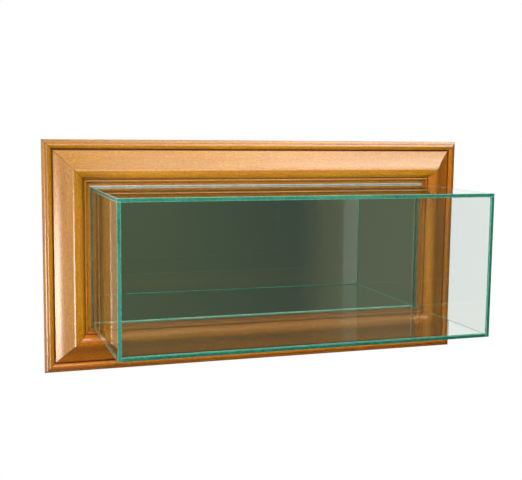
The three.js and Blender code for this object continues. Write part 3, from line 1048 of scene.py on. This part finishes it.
def add_ribbon():
    """A grosgrain pull: ribs across its width, rounded ends, laid flat on the board."""
    low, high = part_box("pull_ribbon")
    half_x = (high.x - low.x) / 2
    half_z = (high.z - low.z) / 2
    centre_z = middle(low.z, high.z)
    columns = ribbon_columns
    rows = round(2 * half_z / rib_pitch) * rib_rows
    shape = bmesh.new()
    grid = {}
    for layer in (0, 1):
        for row in range(rows + 1):
            z = -half_z + 2 * half_z * row / rows
            over = max(0, abs(z) - (half_z - ribbon_end_radius))
            rounding = math.sqrt(max(0, ribbon_end_radius ** 2 - over ** 2))
            reach = half_x - ribbon_end_radius + rounding
            for column in range(columns + 1):
                share = column / columns * 2 - 1
                x = reach * share
                wave = 0.5 + 0.5 * math.cos(2 * math.pi * z / rib_pitch)
                edge = min(1, (1 - abs(share)) / rib_fade_share)
                if layer:
                    y = high.y - rib_height * (1 - wave * edge)
                else:
                    y = low.y
                grid[layer, row, column] = shape.verts.new((x, y, centre_z + z))

    def quad(*corners):
        shape.faces.new([grid[corner] for corner in corners])

    for layer in (0, 1):
        for row in range(rows):
            for column in range(columns):
                quad(
                    (layer, row, column), (layer, row, column + 1),
                    (layer, row + 1, column + 1), (layer, row + 1, column)
                )
    for row in range(rows):
        for column in (0, columns):
            quad((0, row, column), (0, row + 1, column), (1, row + 1, column), (1, row, column))
    for row in (0, rows):
        for column in range(columns):
            quad((0, row, column), (0, row, column + 1), (1, row, column + 1), (1, row, column))
    ribbon = from_bmesh("ribbon_pull", shape, [ribbon_material] * 2, ribbon_turn)
    cut_away(ribbon, [rivet_cutter(low, high)])
    finish_piece(ribbon, "back_panel", "pull_ribbon", "ribbon")


def add_rivet():
    low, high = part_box("pull_rivet")
    radius = (high.x - low.x) / 2
    seat = high.y - rivet_head
    steps = 8
    dome = []
    for i in range(steps + 1):
        angle = i / steps * math.pi / 2
        lift = (rivet_head - rivet_rim) * math.sin(angle)
        dome.append((radius * math.cos(angle), seat + rivet_rim + lift))
    dome[-1] = (0, high.y)
    profile = [(0, low.y), (rivet_shank, low.y), (rivet_shank, seat), (radius, seat)] + dome
    rivet = from_bmesh("rivet_domed", turned_shape(profile, rivet_centre), [zinc_material])
    finish_piece(rivet, "back_panel", "pull_rivet", "steel")


# Hangers and bumpers
def keyhole_outline(grow, steps=16):
    """The keyhole's opening about the plate's middle: a round entry below and a slot above."""
    entry_z = -slot_length / 2
    slot_z = slot_length / 2
    entry = entry_radius + grow
    slot = slot_radius + grow
    neck = math.acos(slot / entry)
    points = []
    for i in range(steps + 1):
        angle = math.pi * i / steps
        points.append((slot * math.cos(angle), slot_z + slot * math.sin(angle)))
    for i in range(2 * steps + 1):
        angle = math.pi - neck + (math.pi + 2 * neck) * i / (2 * steps)
        points.append((entry * math.cos(angle), entry_z + entry * math.sin(angle)))
    return points


screw_head = 2.9 * MM
screw_shank = 1.5 * MM
screw_head_height = 1.4 * MM


def add_keyhole_plate(word):
    node = f"keyhole_plate_{word}"
    low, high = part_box(node)
    centre = flat_centre(low, high)
    half_x, half_z = (high.x - low.x) / 2, (high.z - low.z) / 2
    shape = plate_shape(
        lambda inset: rounded_outline(half_x - inset, half_z - inset, half_x - inset, 12),
        low.y, high.y, centre, plate_ease
    )
    plate = from_bmesh(f"hanger_{word}", shape, [zinc_material] * 2)
    hole = bmesh.new()
    rings = []
    for y, grow in (
        (low.y - cut_overrun, 0), (high.y - plate_ease, 0), (high.y + plate_ease, plate_ease * 2)
    ):
        rings.append(ring_at(centre, y, keyhole_outline(grow)))
    skin_rings(hole, rings)
    cutters = [cutter_from(hole)]
    for end in ("lower", "upper"):
        screw_low, screw_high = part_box(f"plate_screw_{word}_{end}")
        place = flat_centre(screw_low, screw_high)
        shank = screw_shank + let_in_gap
        mouth = screw_head + let_in_gap
        taper_y = high.y - screw_head_height - let_in_gap
        profile = [
            (0, low.y - cut_overrun), (shank, low.y - cut_overrun), (shank, taper_y),
            (mouth, high.y), (mouth, high.y + cut_overrun), (0, high.y + cut_overrun)
        ]
        cutters.append(cutter_from(turned_shape(profile, place, 32)))
    cut_away(plate, cutters)
    finish_piece(plate, "case", node, "steel")


recess_half = 1.5 * MM
recess_slot = 0.36 * MM
recess_depth = 0.9 * MM
recess_foot_share = 0.45
recess_overrun = 0.1 * MM
crown_height = 0.12 * MM
crown_shares = (0.6, 0.75)
screw_tip = 0.5 * MM
thread_pitch = 0.9 * MM
tip_share = 0.25
root_share = 0.72
neck_share = 0.85


def add_screw(node):
    """A countersunk screw with a low domed head, a cross recess and a threaded shank."""
    low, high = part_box(node)
    centre = flat_centre(low, high)
    top = high.y - crown_height
    root = screw_shank * root_share
    profile = [(0, low.y), (screw_shank * tip_share, low.y + screw_tip)]
    thread_start = low.y + screw_shank
    thread_end = top - screw_head_height - thread_pitch
    for turn in range(int((thread_end - thread_start) / thread_pitch)):
        y = thread_start + turn * thread_pitch
        profile += [(root, y), (screw_shank, y + thread_pitch / 2)]
    across_share, rise_share = crown_shares
    profile += [
        (root, thread_end), (screw_shank * neck_share, top - screw_head_height),
        (screw_head, top - crown_height), (screw_head, top),
        (screw_head * across_share, top + crown_height * rise_share), (0, high.y)
    ]
    screw = from_bmesh(node + "_turned", turned_shape(profile, centre, 36), [zinc_material] * 2)
    cutters = []
    for along_x in (True, False):
        half_x, half_z = (recess_half, recess_slot) if along_x else (recess_slot, recess_half)
        rings = []
        for y, share in ((top - recess_depth, recess_foot_share), (high.y + recess_overrun, 1)):
            x, z = half_x * share, half_z * (share + 1) / 2
            if not along_x:
                x, z = half_x * (share + 1) / 2, half_z * share
            rings.append(ring_at(centre, y, ((-x, -z), (x, -z), (x, z), (-x, z))))
        slot = bmesh.new()
        skin_rings(slot, rings)
        cutters.append(cutter_from(slot))
    cut_away(screw, cutters)
    finish_piece(screw, "case", node, "steel")


bumper_foot = 0.35 * MM
bumper_power = 0.7


def add_bumper(corner):
    node = f"wall_bumper_{corner}"
    low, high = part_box(node)
    centre = flat_centre(low, high)
    radius = (high.x - low.x) / 2
    foot_y = low.y + bumper_foot
    steps = 10
    profile = [(0, low.y), (radius, low.y), (radius, foot_y)]
    for i in range(1, steps + 1):
        angle = i / steps * math.pi / 2
        across = radius * math.cos(angle) ** bumper_power
        profile.append((across, foot_y + (high.y - foot_y) * math.sin(angle)))
    profile[-1] = (0, high.y)
    bumper = from_bmesh(f"bumper_{corner}", turned_shape(profile, centre), [rubber_material])
    finish_piece(bumper, "case", node, "rubber")


def dress_node(node, material):
    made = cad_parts[node]
    if made.material_slots:
        for slot in made.material_slots:
            slot.material = material
    else:
        made.data.materials.append(material)


# Stage: a pale floor, a white surround and a dim room seen only in reflections
plain_white = (1, 1, 1, 1)
floor_drop = 1.2
floor_radius = 1.7
floor_pale = (0.82, 0.82, 0.81, 1)
floor_glow_share = 0.93
ambient_light = 0.08
card_radius = 4
card_angles = (math.radians(-62), math.radians(128))
card_low = -1.15
card_top = 1.2
card_floor_back = 0.6
grey_span = (1.45, 1.75)
room_patch = (0.5, 0.5, 0.25)
room_dark = colour(66, 74, 66)
room_green = colour(86, 95, 73)
room_grey = colour(102, 107, 88)


def seen_directly(tree):
    rays = add_node(tree, "ShaderNodeLightPath").outputs
    either = math_node(tree, "MAXIMUM", rays["Is Camera Ray"], rays["Is Glossy Ray"])
    return math_node(tree, "MAXIMUM", either, rays["Is Transmission Ray"])


def add_world():
    world = bpy.data.worlds.new("surround")
    bpy.context.scene.world = world
    world.use_nodes = True
    tree = world.node_tree
    strength = ramp(tree, seen_directly(tree), 0, 1, ambient_light, 1)
    set_inputs(tree.nodes["Background"], Color=plain_white, Strength=strength)


def add_floor():
    shape = bmesh.new()
    bmesh.ops.create_circle(shape, cap_ends=True, radius=floor_radius, segments=64)
    bmesh.ops.translate(shape, vec=(0, 0, -floor_drop), verts=shape.verts)
    material, tree, shader = new_material("floor_pale")
    set_inputs(shader, Base_Color=floor_pale, Roughness=0.9)
    white = add_node(tree, "ShaderNodeEmission", {"Color": plain_white, "Strength": 1})
    share = math_node(tree, "MULTIPLY", seen_directly(tree), floor_glow_share)
    mix_to_output(tree, share, shader, white)
    from_bmesh("floor", shape, [material])


def add_room_card():
    """A dim room in front of the case. Only rays that a shiny surface has turned see it."""
    steps = 48
    shape = bmesh.new()
    columns = []
    for i in range(steps + 1):
        angle = -math.pi / 2 + card_angles[0] + (card_angles[1] - card_angles[0]) * i / steps
        x, y = card_radius * math.cos(angle), card_radius * math.sin(angle)
        columns.append((shape.verts.new((x, y, card_low)), shape.verts.new((x, y, card_top))))
    hub = shape.verts.new((0, card_floor_back, card_low))
    for (low_a, high_a), (low_b, high_b) in zip(columns, columns[1:]):
        shape.faces.new((low_a, low_b, high_b, high_a))
        shape.faces.new((hub, low_b, low_a))
    material, tree, shader = new_material("room_dim")
    tree.nodes.remove(shader)
    place = object_place(tree)
    patch = noise_at(tree, place, room_patch, detail=1)
    across = add_node(tree, "ShaderNodeSeparateXYZ", {0: place}).outputs[0]
    shade = mixed(tree, ramp(tree, patch, 0.35, 0.65), room_dark, room_green)
    shade = mixed(tree, ramp(tree, across, *grey_span), shade, room_grey)
    light = add_node(tree, "ShaderNodeEmission", {"Color": shade, "Strength": 1})
    clear = add_node(tree, "ShaderNodeBsdfTransparent")
    rays = add_node(tree, "ShaderNodeLightPath").outputs
    turned = math_node(tree, "MINIMUM", rays["Glossy Depth"], 1)
    mix_to_output(tree, turned, clear, light)
    from_bmesh("room_card", shape, [material])


# Each lamp's place, target, size and power, and the only pieces that it puts a sheen on
lamps = {
    "key": ((-0.64, -1.4, 0.93), (0, 0, 0), (1.1, 0.5), 25.5, None),
    "behind": ((-0.5, 1.5, 0.8), (0, 0, 0), (1.2, 1), 18, None),
    "ceiling": ((0.82, -0.85, 1.62), (0.82, -0.85, 0), (1.6, 2.9), 53, wood_pieces),
    "ceiling_right": ((1.17, -0.85, 1.6), (1.17, -0.85, 0), (1.3, 2.9), 38, wood_pieces),
    "left_low": ((-1.51, -1.08, -0.33), (-0.24, 0, 0), (0.42, 0.45), 19, left_pieces),
    "left_wide": ((-1.65, -0.15, 0.1), (-0.24, 0, 0), (1, 1.2), 6, left_pieces),
    "front_high": ((0.55, -1.75, 0.88), (0.1, 0, -0.1), (1.4, 0.6), 15, wood_pieces)
}


def add_lamps():
    for name, (place, target, size, power, gloss_on) in lamps.items():
        data = bpy.data.lights.new(name, "AREA")
        data.shape = "RECTANGLE"
        data.size, data.size_y = size
        data.energy = power
        lamp = bpy.data.objects.new(name, data)
        lamp.location = place
        facing = Vector(target) - Vector(place)
        lamp.rotation_euler = facing.to_track_quat("-Z", "Y").to_euler()
        bpy.context.scene.collection.objects.link(lamp)
        if gloss_on:
            lamp.visible_diffuse = False
            lamp.light_linking.receiver_collection = gloss_on


def add_stage():
    bpy.context.scene.view_settings.view_transform = "Standard"
    add_world()
    add_floor()
    add_room_card()
    add_lamps()


add_camera()
add_stage()
add_rails()
for word, axis in (("top", 2), ("floor", 2), ("left", 0), ("right", 0), ("front", 1)):
    add_pane(f"glass_{word}", axis)
add_sealant()
add_mirror()
add_board()
add_coins()
add_ribbon()
add_rivet()
for word in ("left", "right"):
    add_keyhole_plate(word)
    add_screw(f"plate_screw_{word}_lower")
    add_screw(f"plate_screw_{word}_upper")
for corner in corner_words:
    add_bumper(corner)
    for number in (1, 2):
        dress_node(f"corner_nail_{corner}_{number}", zinc_material)
for word in ("upper", "lower"):
    dress_node(f"mirror_tape_{word}", tape_material)
